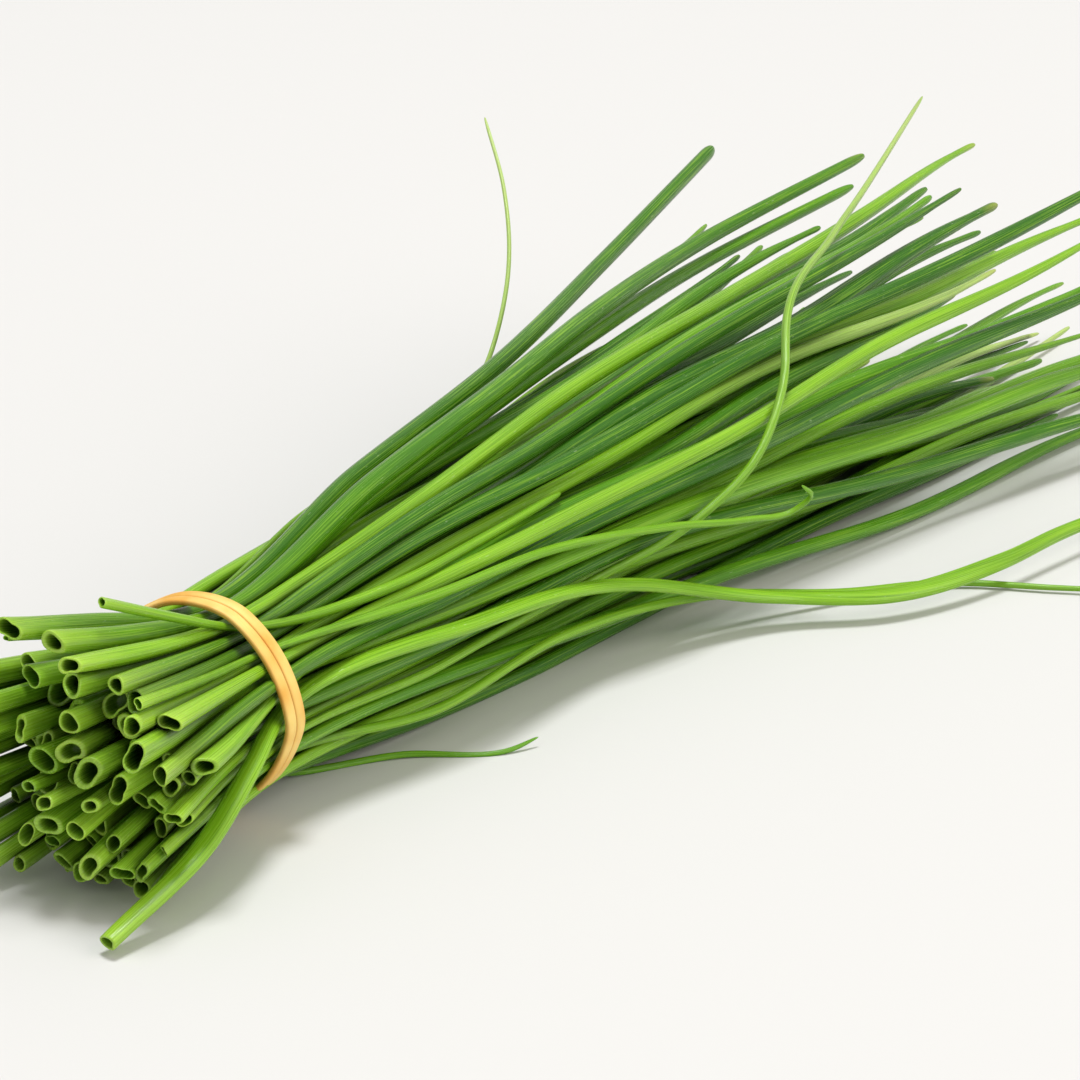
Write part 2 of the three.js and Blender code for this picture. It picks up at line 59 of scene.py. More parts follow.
# How the bunch is laid out, in millimetres and shares. The same rule, with the same seeded draws, placed the
# solids, and its chives are pushed apart at the stations along the bunch and between them.
bunch = {
    "axisHeight": 19.5,
    "chiveCount": 98,
    "bundleRadius": 14.6,
    "squash": 0.93,
    "goldenAngle": 2.399963,
    "takenShare": 0.85,  # a place this near a stray, as a share of both radii, is taken
    "seed": 7,
    "slimRadius": 1.1,
    "radiusRange": 0.75,
    "topRadius": 0.25,
    "cutLength": (27, 41),
    "leafLength": (212, 285),
    "farShortening": 45,
    "squeeze": 0.26,  # how much the band narrows a chive
    "squeezeReach": 16,
    "swelling": 0.1,  # how much wider a leaf is away from the band
    "swellingReach": 110,
    "cutSwelling": 0.16,  # how much wider a chive is at its cut end
    "cutSwellingReach": 30,
    "taperStart": 0.8,  # as a share of the chive's length
    "taperPower": 0.5,
    "tipShare": 0.42,  # a blunt tip's radius, as a share of the chive's
    "strayTaperStart": 0.62,
    "strayTaperPower": 0.6,
    "cutFlare": 0.3,
    "cutNeck": 12,
    "leafFlare": 0.3,
    "leafNeck": 30,
    "neckTightness": 0.2,  # how much nearer the axis the chives lie at the band
    "neckReach": 25,
    "leafScale": 200,  # length over which a leaf's own bend builds up
    "cutScale": 45,
    "leafSweep": 9,  # sideways, straight and curling
    "leafCurl": 8,
    "leafLean": -4,
    "leafRise": 4,  # up and down, straight and sagging
    "leafDroop": 4,
    "leafLift": 5.5,  # how much less the upper leaves droop, and how much more the lower ones do
    "leafSplit": 0.4,  # how far from the axis a leaf counts as upper or lower, as a share of the bunch
    "leafSag": 9,
    "cutSweepReach": 3,
    "cutRiseReach": 2.5,
    "stations": (-48, -22, -5, 5, 40, 90, 150, 215, 285),
    "steps": 5,
    "spacing": 0.2,
    "straySpacing": 0.45,
    "restShare": 0.78,  # how high over the floor a chive's middle stays, as a share of its radius
    "aliveRoom": (5, 10),  # chives push each other this far past their cut ends and tips
    "groundedRoom": (12, 15),  # and stay above the floor this far past them
    "rounds": 420,
    "lastRounds": 220,  # rounds that only push apart
    "pushShare": 0.55,
    "returnShare": 0.03,
    "smoothShare": 0.1,
    "crossedFrom": 180,  # leaves that still meet beyond this are shortened
    "crossedNear": 4,
    "crossedRoom": 0.02,
    "crossedStep": 1,
    "largestStretch": 2,
    "straySamples": 161,
}

# Chives that leave the bunch: radius, how flat, how blunt the tip is, tone from dark to pale, and middle line
strays = {
    "straight_chive": {
        "radius": 1.6, "flat": 1, "blunt": 0.8, "tone": 0.1,
        "line": [(-41, 5.5, 43.5), (-20, 6.2, 37), (0, 4.6, 31.6), (60, 11, 34.5), (120, 20, 34.5),
                 (180, 33, 35), (240, 42, 41)],
    },
    "long_top_chive": {
        "radius": 1.7, "flat": 1, "blunt": 0.55, "tone": 0.2,
        "line": [(-36, 1.5, 40.5), (-18, 0.5, 35.6), (0, -0.6, 32.3), (50, 2, 37.5), (100, 8, 38),
                 (150, 16.5, 37), (200, 23.3, 35), (260, 18.7, 38)],
    },
    "second_top_chive": {
        "radius": 1.6, "flat": 1, "blunt": 0.55, "tone": 0.4,
        "line": [(-38, 4, 35.5), (-18, 3, 31.3), (0, 2, 28.6), (50, 4.5, 33.2), (100, 10.5, 33.8),
                 (150, 17.5, 32.5), (200, 23, 30.8), (252, 17, 34)],
    },
    "broken_chive": {
        "radius": 0.9, "flat": 1, "blunt": 0.75, "tone": 0.75,
        "line": [(-27, -0.8, 44), (-12, -3.2, 37), (0, -5.2, 31.8), (35, -12.4, 28.5), (57, -14.2, 29),
                 (80, -15.3, 29.7)],
    },
    "hooked_chive": {
        "radius": 0.8, "flat": 1, "blunt": 0.45, "tone": 0.7,
        "line": [(-36, -13, 34), (-15, -10.5, 30), (0, -9.8, 28.4), (38, -17.4, 26.6), (70, -21.8, 25),
                 (91, -28.9, 22.8), (111, -33.8, 18.7), (119.5, -37.8, 18.3), (120.5, -40.5, 21),
                 (117, -40.5, 24)],
    },
    "crossing_chive": {
        "radius": 0.75, "flat": 1, "blunt": 0.45, "tone": 0.95,
        "line": [(-33, -14.5, 10.5), (-15, -13.6, 12.6), (0, -12.6, 14.4), (40, -16, 13.5), (65, -17.5, 13.8),
                 (83, -20.5, 15), (101, -27.5, 19.5), (115, -32.5, 27.5), (128, -31, 36.5),
                 (140, -25.5, 44.5), (175, -16.4, 48.5), (195, -11.8, 50), (245, -0.7, 56)],
    },
    "flat_chive": {
        "radius": 1.9, "flat": 0.55, "blunt": 0.35, "tone": 0.8,
        "line": [(-48, -14.8, 2.2), (-27, -17.4, 9.5), (-12, -15.6, 15.5), (0, -12.7, 18.9), (45, -21, 20.5),
                 (83, -25, 14.7), (112, -39.1, 5.5), (124, -53, 4.4), (147, -63.9, 5), (163, -67.4, 5.5),
                 (192, -73, 4)],
    },
    "low_chive": {
        "radius": 0.8, "flat": 1, "blunt": 0.4, "tone": 0.75,
        "line": [(-34, -15.5, 4.5), (-15, -12, 7.6), (0, -9.9, 10.1), (40, -17, 7), (72, -21, 9),
                 (104, -29.5, 6.5), (128, -44, 2), (143, -56, 1), (150, -73, 1), (156, -88, 1.2)],
    },
    "table_chive": {
        "radius": 0.62, "flat": 1, "blunt": 0.5, "tone": 0.5,
        "line": [(-30, 5, 2.2), (-14, 3.5, 3.8), (0, 2, 5.9), (10, -1, 3.3), (20, -4, 0.7),
                 (33, -13.4, 0.65), (44, -27.5, 0.65), (48, -29.6, 1.6)],
    },
    "wispy_chive": {
        "radius": 0.5, "flat": 1, "blunt": 0.6, "tone": 1.0,
        "line": [(-33, 12, 38), (-15, 10, 33), (0, 8.3, 30), (50, 15, 30), (100, 27, 25), (135, 37, 20),
                 (152, 41, 22.5), (166, 45, 34), (180, 54, 46), (190, 64, 56)],
    },
}


def seededDraws(seed):  # numbers drawn evenly between a low and a high value, the same on every run
    state = [seed]

    def draw(low, high):
        state[0] = (state[0] * 1664525 + 1013904223) % 4294967296
        return low + (high - low) * state[0] / 4294967296

    return draw


def lineSlopes(knots, points):  # each point's slope is a mean of its two spans', weighted by the other span
    spans = np.diff(knots)[:, None]
    steep = np.diff(points, axis=0) / spans
    inner = (steep[1:] * spans[:-1] + steep[:-1] * spans[1:]) / (spans[1:] + spans[:-1])
    return np.vstack([steep[:1], inner, steep[-1:]])


def smoothLine(knots, points, at):  # on each span a cubic with the slopes above, at the knots' own scale
    knots = np.asarray(knots, float)
    points = np.asarray(points, float)
    slopes = lineSlopes(knots, points)
    i = np.clip(np.searchsorted(knots, at, side="left") - 1, 0, len(knots) - 2)
    span = knots[i + 1] - knots[i]
    s = ((at - knots[i]) / span)[:, None]
    span = span[:, None]
    return (points[i] * (2 * s**3 - 3 * s**2 + 1) + slopes[i] * span * (s**3 - 2 * s**2 + s)
            + points[i + 1] * (3 * s**2 - 2 * s**3) + slopes[i + 1] * span * (s**3 - s**2))


def strayLine(points, share):  # a stray chive's middle line at shares of its length
    points = np.asarray(points, float)
    knots = np.concatenate([[0], np.cumsum(np.linalg.norm(np.diff(points, axis=0), axis=1))])
    return smoothLine(knots, points, share * knots[-1])


def crossingAt(samples, xs):  # where a stray crosses the planes at xs, and how much its slant stretches it
    forward = np.diff(samples[:, 0]) > 0
    last = len(forward) if forward.all() else int(np.argmin(forward))
    line = samples[:last + 1]
    y = np.interp(xs, line[:, 0], line[:, 1])
    z = np.interp(xs, line[:, 0], line[:, 2])
    i = np.clip(np.searchsorted(line[:, 0], xs, side="left") - 1, 0, last - 1)
    step = np.diff(line, axis=0)[i]
    stretch = np.minimum(np.linalg.norm(step, axis=1) / step[:, 0], bunch["largestStretch"])
    reached = (xs >= line[0, 0]) & (xs <= line[-1, 0])
    return y, z, stretch, reached


def packedChives(atBand):  # a sunflower spiral across the bunch; strays take the places that they cross
    b = bunch
    draw = seededDraws(b["seed"])
    made = []
    for i in range(b["chiveCount"]):
        out = b["squash"] * b["bundleRadius"] * math.sqrt((i + 0.5) / b["chiveCount"])
        y = out * math.cos(i * b["goldenAngle"])
        z = out * math.sin(i * b["goldenAngle"])
        size = draw(0, 1)
        radius = b["slimRadius"] + b["radiusRange"] * size * size
        radius = radius + b["topRadius"] * max(z / b["bundleRadius"], 0)
        cut = -draw(*b["cutLength"])
        tip = draw(*b["leafLength"]) - b["farShortening"] * max(y / b["bundleRadius"], 0) ** 2
        sweep = draw(-1, 1) + draw(-1, 1)
        curl = draw(-1, 1) + draw(-1, 1)
        rise = draw(-1, 1) + draw(-1, 1)
        sag = draw(0, 1)
        cutSweep = draw(-1, 1)
        cutRise = draw(-1, 1)
        tone = draw(0, 1)
        taken = any(math.hypot(sy - y, sz - b["axisHeight"] - z) < b["takenShare"] * (radius + sr)
                    for sy, sz, sr in atBand)
        if not taken:
            made.append((y, z, radius, cut, tip, sweep, curl, rise, sag, cutSweep, cutRise, tone))
    made = made[:len(made) // 2 * 2]
    names = ("y", "z", "radius", "cut", "tip", "sweep", "curl", "rise", "sag", "cutSweep", "cutRise", "tone")
    return {name: np.array(column) for name, column in zip(names, zip(*made))}


def radiusAt(c, x):  # narrowed under the band, swelling on either side of it, tapered to a blunt tip
    b = bunch
    narrowed = 1 - b["squeeze"] * np.exp(-((x / b["squeezeReach"]) ** 2))
    swollen = (1 + b["swelling"] * np.clip(x / b["swellingReach"], 0, 1)
               + b["cutSwelling"] * np.clip(-x / b["cutSwellingReach"], 0, 1))
    along = (x - c["cut"]) / (c["tip"] - c["cut"])
    taper = np.clip((1 - along) / (1 - b["taperStart"]), 0, 1) ** b["taperPower"]
    return c["radius"] * narrowed * swollen * np.maximum(taper, b["tipShare"])


def wantedPlace(c, x):  # where each chive would lie at x if nothing were in its way
    b = bunch
    cutSide = max(-x, 0)
    leafSide = max(x, 0)
    flare = (1 + b["cutFlare"] * (math.hypot(1, cutSide / b["cutNeck"]) - 1)
             + b["leafFlare"] * (math.hypot(1, leafSide / b["leafNeck"]) - 1)
             - b["neckTightness"] * math.exp(-((x / b["neckReach"]) ** 2)))
    leaf = leafSide / b["leafScale"]
    cut = cutSide / b["cutScale"]
    up = c["z"] / b["bundleRadius"]
    lift = b["leafLift"] * np.tanh(up / b["leafSplit"])
    y = (c["y"] * flare + b["leafSweep"] * c["sweep"] * leaf
         + (b["leafCurl"] * c["curl"] + b["leafLean"]) * leaf**2 + b["cutSweepReach"] * c["cutSweep"] * cut)
    z = (b["axisHeight"] + c["z"] * flare + b["leafRise"] * c["rise"] * leaf
         - (b["leafDroop"] - lift + b["leafSag"] * c["sag"]) * leaf**2
         + b["cutRiseReach"] * c["cutRise"] * cut)
    return np.stack([y, z], 1)


def shoves(now, need, alive, straysHere, radii, low):
    # Half of each overlap between two chives, all of one with a stray or the floor, and how many there were
    gapVector = now[:, :, None] - now[:, None]
    far = np.sqrt((gapVector**2).sum(3)) + tiny
    over = np.maximum(need - far, 0)
    push = (gapVector * (over / far * 0.5)[..., None]).sum(2)
    hits = (over > 0).sum(2)
    strayY, strayZ, strayNeed = straysHere
    strayVector = now[:, :, None] - np.stack([strayY, strayZ], 2)[:, None]
    far = np.sqrt((strayVector**2).sum(3)) + tiny
    needed = (radii[:, :, None] + strayNeed[:, None]) * (strayNeed[:, None] > 0)
    over = np.maximum(needed - far, 0) * alive[:, :, None]
    push += (strayVector * (over / far)[..., None]).sum(2)
    hits = hits + (over > 0).sum(2)
    push[..., 1] += low
    return push, hits + (low > 0)


def pairNeed(radii, alive, spacing):  # the distance that each two chives must keep
    need = radii[:, :, None] + radii[:, None] + spacing
    need = need * alive[:, :, None] * alive[:, None]
    diagonal = np.arange(need.shape[1])
    need[:, diagonal, diagonal] = 0
    return need


def straysAt(xs, samples, spacing):  # where the strays cross the planes at xs, and the room that each needs
    rows = [crossingAt(line, xs) for line in samples]
    y = np.stack([row[0] for row in rows], 1)
    z = np.stack([row[1] for row in rows], 1)
    sizes = np.array([stray["radius"] for stray in strays.values()])
    need = np.stack([row[2] for row in rows], 1) * sizes + spacing
    return y, z, need * np.stack([row[3] for row in rows], 1)


def isNear(c, x, room):  # whether x lies on each chive, or within the room past its cut end and its tip
    return (x >= c["cut"] - room[0]) & (x <= c["tip"] + room[1])


def pushApart(c, samples):
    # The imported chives' places at the stations. Each round a chive moves by half its overlaps, is smoothed
    # along its length and is drawn to its wanted place.
    b = bunch
    stations = np.array(b["stations"], float)
    wanted = np.stack([wantedPlace(c, x) for x in stations], 1)
    now = wanted.copy()
    span = np.repeat(np.arange(len(stations) - 1), b["steps"])
    share = np.tile(np.arange(b["steps"]) / b["steps"], len(stations) - 1)
    span = np.append(span, len(stations) - 2)
    share = np.append(share, 1.0)
    xs = stations[span] * (1 - share) + stations[span + 1] * share
    x = xs[:, None]
    alive = isNear(c, x, b["aliveRoom"])
    grounded = isNear(c, x, b["groundedRoom"])
    radii = radiusAt(c, x)
    need = pairNeed(radii, alive, b["spacing"])
    straysHere = straysAt(xs, samples, b["spacing"] + b["straySpacing"])
    weight = np.zeros((len(stations), len(xs)))
    weight[span, np.arange(len(xs))] = 1 - share
    weight[span + 1, np.arange(len(xs))] = share
    lever = weight / ((1 - share) ** 2 + share**2)
    inner = slice(1, -1)
    mid = ((stations[1:-1] - stations[:-2]) / (stations[2:] - stations[:-2]))[None, :, None]
    for turn in range(b["rounds"]):
        at = np.einsum("sm,nsc->mnc", weight, now)
        low = np.maximum(b["restShare"] * radii - at[..., 1], 0) * grounded
        push, hits = shoves(at, need, alive, straysHere, radii, low)
        move = np.einsum("sm,mnc->nsc", lever, push)
        count = np.einsum("sm,mn->ns", weight, hits > 0)
        now = now + b["pushShare"] * move / np.maximum(count, 1)[..., None]
        if turn < b["rounds"] - b["lastRounds"]:
            old = now
            now = old + (wanted - old) * b["returnShare"]
            now[:, inner] += (old[:, :-2] * (1 - mid) + old[:, 2:] * mid - old[:, inner]) * b["smoothShare"]
    return now


def shortenCrossed(c, now):  # a leaf whose end would still run into another leaf's ends short of it
    b = bunch
    stations = np.array(b["stations"], float)
    for i in range(len(c["tip"])):
        for j in range(i):
            n = i if c["tip"][i] < c["tip"][j] else j
            xs = np.arange(b["crossedFrom"], c["tip"][n])
            if len(xs) == 0:
                continue
            pair = [np.stack([np.interp(xs, stations, now[m, :, a]) for a in (0, 1)], 1) for m in (i, j)]
            far = np.linalg.norm(pair[0] - pair[1], axis=1)
            if far.min() > b["crossedNear"]:
                continue
            radii = [radiusAt({key: value[m] for key, value in c.items()}, xs) for m in (i, j)]
            met = far - radii[0] - radii[1] < b["crossedRoom"]
            if met.any():
                c["tip"][n] = xs[np.argmax(met)] - b["crossedStep"]


def pairUp(now):  # each chive, from the outside in, with the nearest one that is still free
    stations = np.array(bunch["stations"], float)
    middle = np.stack([[np.interp(0, stations, row[:, a]) for a in (0, 1)] for row in now])
    out = np.hypot(middle[:, 0], middle[:, 1] - bunch["axisHeight"])
    order = list(np.argsort(-out, kind="stable"))
    pairs = []
    while order:
        first = order.pop(0)
        gaps = [np.hypot(*(middle[first] - middle[j])) for j in order]
        pairs.append((first, order.pop(int(np.argmin(gaps)))))
    return pairs


# The fine lines: a smooth line through the stations, with a little waviness, pushed apart again
fine = {
    "step": 3.5,
    "spacing": 0.06,
    "straySpacing": 0.1,
    "aliveRoom": (4, 2),
    "rounds": 70,
    "lastRounds": 12,  # rounds that only push apart
    "pushShare": 0.6,
    "smoothShare": 0.22,
    "wave": 1.3,
    "waveFrom": 10,
    "waveBy": 130,
    "waveLength": (75, 170),
    "seed": 11,
}


def fineLines(c, now, samples):
    # line(x) + wave * growth(x) * sin(2 pi x / length + phase), sideways and upward, for each chive
    f = fine
    stations = np.array(bunch["stations"], float)
    xs = np.arange(stations[0], stations[-1] + f["step"], f["step"])
    lines = np.stack([smoothLine(stations, row, xs) for row in now], 1)
    rng = np.random.default_rng(f["seed"])
    phase = rng.uniform(0, 2 * math.pi, (2, len(now)))
    length = rng.uniform(*f["waveLength"], (2, len(now)))
    growth = np.clip((xs - f["waveFrom"]) / f["waveBy"], 0, 1)[:, None] * f["wave"]
    for axis in (0, 1):
        lines[..., axis] += growth * np.sin(xs[:, None] / length[axis] * 2 * math.pi + phase[axis])
    x = xs[:, None]
    alive = isNear(c, x, f["aliveRoom"])
    radii = radiusAt(c, x)
    need = pairNeed(radii, alive, f["spacing"])
    straysHere = straysAt(xs, samples, f["straySpacing"])
    for turn in range(f["rounds"]):
        low = np.maximum(bunch["restShare"] * radii - lines[..., 1], 0)
        push, hits = shoves(lines, need, alive, straysHere, radii, low)
        lines = lines + f["pushShare"] * push / np.maximum(hits, 1)[..., None]
        if turn < f["rounds"] - f["lastRounds"]:
            lines[1:-1] += (lines[:-2] + lines[2:] - 2 * lines[1:-1]) * f["smoothShare"]
    return xs, lines


sampleShares = np.linspace(0, 1, bunch["straySamples"])
straySamples = [strayLine(stray["line"], sampleShares) for stray in strays.values()]
atBand = []
for stray, samples in zip(strays.values(), straySamples):
    strayY, strayZ = crossingAt(samples, np.array([0.0]))[:2]
    atBand.append((strayY[0], strayZ[0], stray["radius"]))
chives = packedChives(atBand)
coarse = pushApart(chives, straySamples)
shortenCrossed(chives, coarse)
pairs = pairUp(coarse)
print("layout:", len(chives["y"]), "packed chives in", len(pairs), "pairs")
fineX, fineYz = fineLines(chives, coarse, straySamples)
print("fine lines done")


# The attributes that a skin's points can carry, each with its type and the field that holds its values
attributeKinds = {"skin": ("FLOAT_VECTOR", "vector"), "marks": ("FLOAT_COLOR", "color"),
                  "creviceShade": ("FLOAT", "value")}


def meshFrom(name, points, quads, fans, values):  # points in millimetres; values are per point
    mesh = bpy.data.meshes.new(name)
    corners = np.concatenate([quads.ravel(), fans.ravel()]).astype(np.int32)
    starts = np.concatenate([np.arange(len(quads)) * 4, len(quads) * 4 + np.arange(len(fans)) * 3])
    mesh.vertices.add(len(points))
    mesh.vertices.foreach_set("co", ((points + place) * metre).astype(np.float32).ravel())
    mesh.loops.add(len(corners))
    mesh.loops.foreach_set("vertex_index", corners)
    mesh.polygons.add(len(starts))
    mesh.polygons.foreach_set("loop_start", starts.astype(np.int32))
    mesh.polygons.foreach_set("use_smooth", np.ones(len(starts), bool))
    mesh.update(calc_edges=True)
    for key, value in values.items():
        kind, field = attributeKinds[key]
        layer = mesh.attributes.new(key, kind, "POINT")
        layer.data.foreach_set(field, value.astype(np.float32).ravel())
    piece = bpy.data.objects.new(name, mesh)
    bpy.context.scene.collection.objects.link(piece)
    return piece


def ringFaces(rings, sides, offset=0, closed=False):  # quads between each ring and the next
    ring = np.arange(rings if closed else rings - 1)[:, None]
    side = np.arange(sides)[None]
    a = ring * sides + side
    b = ring * sides + (side + 1) % sides
    up = ((ring + 1) % rings - ring) * sides
    return np.stack([a, b, b + up, a + up], 2).reshape(-1, 4) + offset


# One chive's skin. The numbers are shares of its radius unless they say otherwise.
skin = {
    "sides": 24,
    "lineStep": 3,  # mm between the places of a packed chive's line
    "lineCount": 200,  # places of a stray chive's line
    "ringStep": 3.6,  # mm
    "strayStep": 1.3,  # mm
    "fewestRings": 8,
    "wall": (0.17, 0.4),
    "hollowDepth": (2.0, 11.0),  # mm
    "hollowFrom": 0.22,  # mm
    "hollowPlaces": (0, 0.12, 0.4, 0.8, 1),  # shares of the hollow's depth
    "hollowWidths": (1, 1, 1, 0.95, 0.7),  # shares of the hollow's radius
    "lipPlaces": (0.1, 0.3, 1.2, 3.0),  # mm
    "bodyFrom": 5.0,  # mm
    "lipInset": 0.1,  # shares of the wall, at the outer edge of the lip
    "rimInsets": (0.32, 0.74),  # and at the two rings of the rim
    "rimDepth": 0.02,  # mm
    "pinch": (0.04, 0.36),  # how oval the cut end is
    "pinchReach": 9.0,  # mm
    "slant": (0.05, 0.6),  # how oblique the cut is
    "slantReach": 2.0,  # mm
    "wobble": 0.035,
    "cutWobble": 0.04,  # how uneven the cut end is
    "noseLength": (1.5, 9.0),  # mm
    "nosePlaces": (0.8, 0.6, 0.42, 0.27, 0.15, 0.06),  # shares of the nose's length, from its tip
    "noseShare": 0.3,
    "endShare": 0.7,  # of the nose's last radius
    "poleReach": 0.3,  # how far the last pole stands out, as a share of the last step
}

# How far into the hollow a ring counts for the colours: on its wall, on the rim and on the lip. The deeper a
# wall ring lies, the more painted shade it gets
hollowMarks = {"open": 0.6, "closed": 0.4, "reach": 5, "rim": (0.5, 0.48), "lip": (0.4, 0.2, 0.08)}


def chiveRings(line, radius, flat, turn, rng, look, step):
    # middle(s) + radius(s) * shape(s, a) * (cos a * across + flat * sin a * upward) for rings s and angles a.
    # The shape is oval near the cut, and the cut's rings slide along the line by slant * cos(a - lean).
    k = skin
    sides = k["sides"]
    along = np.concatenate([[0], np.cumsum(np.linalg.norm(np.diff(line, axis=0), axis=1))])
    tangent = np.gradient(line, axis=0)
    tangent /= np.linalg.norm(tangent, axis=1)[:, None]
    across = np.cross([0, 0, 1.0], tangent)
    across /= np.linalg.norm(across, axis=1)[:, None]
    upward = np.cross(tangent, across)
    angle = (2 * math.pi * np.arange(sides) / sides)[None]
    pinch = rng.uniform(*k["pinch"])
    pinchTurn, lean, lobe = rng.uniform(0, 2 * math.pi, 3)
    slant = rng.uniform(*k["slant"])
    wall = rng.uniform(*k["wall"])

    def rings(s, size):  # s in mm from the cut, size a share of the radius
        s = np.asarray(s, float)
        base, side, rise, ahead = [
            np.stack([np.interp(s, along, values[:, a]) for a in range(3)], 1)[:, None]
            for values in (line, across, upward, tangent)
        ]
        r = np.interp(s, along, radius)[:, None] * size
        oval = pinch * np.exp(-s / k["pinchReach"])[:, None]
        shape = 1 + oval * np.cos(2 * (angle - pinchTurn)) + k["wobble"] * np.cos(3 * angle + lobe)
        uneven = k["cutWobble"] * np.exp(-s / k["slantReach"])[:, None]
        shape = shape + uneven * np.cos(3 * angle - lean)
        spin = np.interp(s, along, turn)[:, None]
        u = r * shape * np.cos(angle)
        v = r * shape * np.sin(angle) * flat
        du = u * np.cos(spin) - v * np.sin(spin)
        dv = u * np.sin(spin) + v * np.cos(spin)
        slide = slant * r * np.cos(angle - lean) * np.exp(-s / k["slantReach"])[:, None]
        return base + du[..., None] * side + dv[..., None] * rise + slide[..., None] * ahead

    total = along[-1]
    depth = rng.uniform(*k["hollowDepth"])
    inner = 1 - wall
    nose = rng.uniform(*k["noseLength"])
    steps = max(int((total - nose) / step), k["fewestRings"])
    body = np.concatenate([k["lipPlaces"], np.linspace(k["bodyFrom"], total - nose, steps),
                           total - nose * np.array(k["nosePlaces"])])
    left = np.clip((total - body) / nose, 0, 1)
    rounding = k["noseShare"] + (1 - k["noseShare"]) * np.sqrt(1 - (1 - left) ** 2)
    rounding[0] -= wall * k["lipInset"]
    outside = rings(body, rounding[:, None])
    outerRim = rings([0.0], 1 - wall * k["rimInsets"][0])
    innerRim = rings([k["rimDepth"]], 1 - wall * k["rimInsets"][1])
    inside = k["hollowFrom"] + (depth - k["hollowFrom"]) * np.array(k["hollowPlaces"])
    hollow = rings(inside, np.array(k["hollowWidths"])[:, None] * inner)
    end = rings([total], k["noseShare"] * k["endShare"])
    points = np.concatenate([hollow[::-1], innerRim, outerRim, outside, end])
    s = np.concatenate([inside[::-1], [0, 0], body, [total]])
    m = hollowMarks
    # painted shade: the hollow's wall darkens the deeper it lies
    wallMarks = m["open"] + m["closed"] * np.clip(inside[::-1] / m["reach"], 0, 1)
    skinMarks = np.zeros(len(body) + 1 - len(m["lip"]))
    deep = np.concatenate([wallMarks, m["rim"], m["lip"], skinMarks])
    marks = np.stack([np.full(len(s), look["tone"]), np.clip(s / total, 0, 1), deep,
                      np.full(len(s), look["seed"])], 1)
    return points, s, marks, angle[0]


# How deep in the crevices between the imported chives each point lies: the skin's colour is darkened there
# with painted shade
creviceShade = {
    "reach": (1.3, 2.6),  # mm from the nearest skin and from the next
    "shares": (0.6, 0.4),
    "room": (1, 1),  # mm past a chive's ends in which it still counts
    "away": 100.0,  # mm, the gap to a chive that doesn't count
    "chunk": 4000,  # points worked out at once
}
packedRadii = radiusAt(chives, fineX[:, None])
packedAway = ~isNear(chives, fineX[:, None], creviceShade["room"]) * creviceShade["away"]


def creviceShadeAt(points, own):
    # The amount of painted shade: the sum over the two nearest other chives of share * (1 - gap / reach),
    # from 0 in the open to 1
    k = creviceShade
    value = np.zeros(len(points))
    station = np.clip(np.round((points[:, 0] - fineX[0]) / fine["step"]).astype(int), 0, len(fineX) - 1)
    for start in range(0, len(points), k["chunk"]):
        part = slice(start, start + k["chunk"])
        middles = fineYz[station[part]]
        gap = np.hypot(points[part, 1, None] - middles[..., 0], points[part, 2, None] - middles[..., 1])
        gap = gap - packedRadii[station[part]] + packedAway[station[part]]
        if own is not None:
            gap[:, own] = k["away"]
        nearest = np.partition(gap, 1, axis=1)[:, :2]
        closeness = np.clip(1 - nearest / np.array(k["reach"]), 0, 1)
        value[part] = closeness[:, 0] * k["shares"][0] + closeness[:, 1] * k["shares"][1]
    return value


# The chives stay in the solids' box, and this far above the floor
room = [np.array(corner) / metre - place for corner in solidBox]
clearance = 0.02
room[0][2] = clearance


def chivePiece(name, tubes, slotName, material):  # one object from one chive or a pair
    points, quads, fans, skins, marks, paintedShade = [], [], [], [], [], []
    start = 0
    for own, (rings, s, mark, angle) in tubes:
        count, sides = rings.shape[:2]
        first, beforeLast, last = (rings[n].mean(0) for n in (0, -2, -1))
        poles = np.stack([first, last + (last - beforeLast) * skin["poleReach"]])
        allPoints = np.clip(np.concatenate([rings.reshape(-1, 3), poles]), *room)
        points.append(allPoints)
        # how much painted shade each point gets from the chives around it
        paintedShade.append(creviceShadeAt(allPoints, own))
        quads.append(ringFaces(count, sides, start))
        side = np.arange(sides)
        nextSide = (side + 1) % sides
        firstPole = np.full(sides, start + count * sides)  # the poles follow the rings' points
        lastRing = start + (count - 1) * sides
        fans.append(np.stack([firstPole, start + nextSide, start + side], 1))
        fans.append(np.stack([firstPole + 1, lastRing + side, lastRing + nextSide], 1))
        around = np.stack([np.tile(np.cos(angle), count), np.tile(np.sin(angle), count),
                           np.repeat(s, sides) * metre], 1)
        skins.append(np.concatenate([around, [[0, 0, s[0] * metre], [0, 0, s[-1] * metre]]]))
        marks.append(np.concatenate([np.repeat(mark, sides, 0), mark[:1], mark[-1:]]))
        start += len(allPoints)
    piece = meshFrom(name + "_skin", np.concatenate(points), np.concatenate(quads), np.concatenate(fans),
                     {"skin": np.concatenate(skins), "marks": np.concatenate(marks),
                      "creviceShade": np.concatenate(paintedShade)})
    piece.data.materials.append(material)
    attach(piece, "root")
    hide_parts(name)


class Wire:  # a shader socket that takes part in arithmetic
    def __init__(self, tree, socket):
        self.tree = tree
        self.socket = socket

    def math(self, operation, *values, clamp=False):
        node = self.tree.nodes.new("ShaderNodeMath")
        node.operation = operation
        node.use_clamp = clamp
        for socket, value in zip(node.inputs, values):
            connect(self.tree, value, socket)
        return Wire(self.tree, node.outputs[0])

    def __add__(self, other):
        return self.math("ADD", self, other)

    def __radd__(self, other):
        return self.math("ADD", other, self)

    def __sub__(self, other):
        return self.math("SUBTRACT", self, other)

    def __rsub__(self, other):
        return self.math("SUBTRACT", other, self)

    def __mul__(self, other):
        return self.math("MULTIPLY", self, other)

    def __rmul__(self, other):
        return self.math("MULTIPLY", other, self)

    def rampFrom(self, low, high):  # 0 below low, 1 above high
        return self.math("MULTIPLY", self.math("SUBTRACT", self, low), 1 / (high - low), clamp=True)

    def above(self, level):
        return self.math("GREATER_THAN", self, level)


